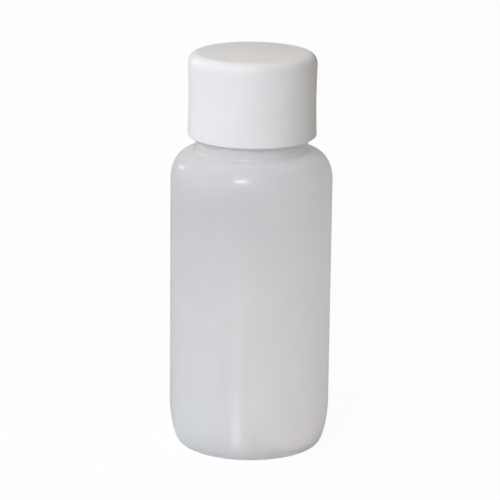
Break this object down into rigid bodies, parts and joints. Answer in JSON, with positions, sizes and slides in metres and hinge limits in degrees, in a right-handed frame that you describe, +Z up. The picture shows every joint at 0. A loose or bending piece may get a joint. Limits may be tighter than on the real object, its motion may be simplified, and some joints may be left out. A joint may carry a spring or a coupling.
{
  "type": "reagent bottle",
  "caption": "Small cylindrical reagent bottle of milky polyethylene with a domed shoulder and a smooth white screw cap that seals on a foam disc.",
  "frame": {"origin": "centre of the foot ring, in the plane that the bottle stands on", "axes": "+Z up along the bottle's axis, from the foot to the cap; +X across the bottle, along the seam on its base; +Y across it from front to back"},
  "size_m": [0.038, 0.038, 0.0947],
  "materials": {
    "milky_polyethylene": "milky, slightly translucent natural polyethylene with a waxy satin surface",
    "white_cap_plastic": "opaque white moulded plastic, smooth satin",
    "liner_foam": "white closed-cell foam, matt"
  },
  "bodies": {
    "bottle": {"bottle_body": "milky_polyethylene"},
    "liner": {"cap_liner": "liner_foam"},
    "cap": {"screw_cap": "white_cap_plastic"}
  },
  "joints": [
    {"name": "cap_rise", "type": "slide", "parent": "bottle", "child": "liner", "axis": [0, 0, 1], "range_m": [0, 0.0254]},
    {"name": "cap_turn", "type": "hinge", "parent": "liner", "child": "cap", "pos_m": [0, 0, 0.0746], "axis": [0, 0, 1], "range_deg": [0, 2160]}
  ],
  "couplings": [
    {"joint": "cap_rise", "follows": "cap_turn", "m_per_rad": 0.00067375}
  ]
}
